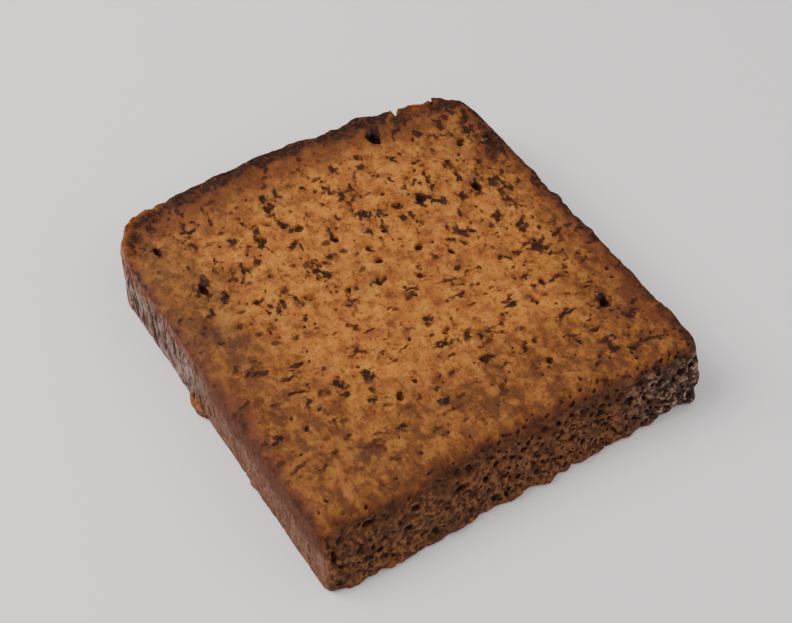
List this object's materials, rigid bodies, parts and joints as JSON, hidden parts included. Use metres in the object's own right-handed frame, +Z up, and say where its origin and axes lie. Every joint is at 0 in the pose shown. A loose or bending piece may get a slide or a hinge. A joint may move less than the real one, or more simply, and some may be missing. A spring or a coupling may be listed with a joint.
{
  "type": "banana bread slice",
  "caption": "Thick slice of banana bread lying flat on its cut face: speckled crumb on top, domed crust on one side, tin crust round the rest.",
  "frame": {"origin": "middle of the underside, which is the cut face that it lies on", "axes": "+Z up through the slice's thickness, +Y towards the domed top of the loaf, +X towards the loaf's right tin side as seen from above with the dome away"},
  "size_m": [0.1102, 0.1164, 0.0189],
  "materials": {
    "bread": "matt crumb with darker, slightly glossy crust"
  },
  "bodies": {
    "root": {"banana_bread_slice": "bread"}
  },
  "joints": []
}
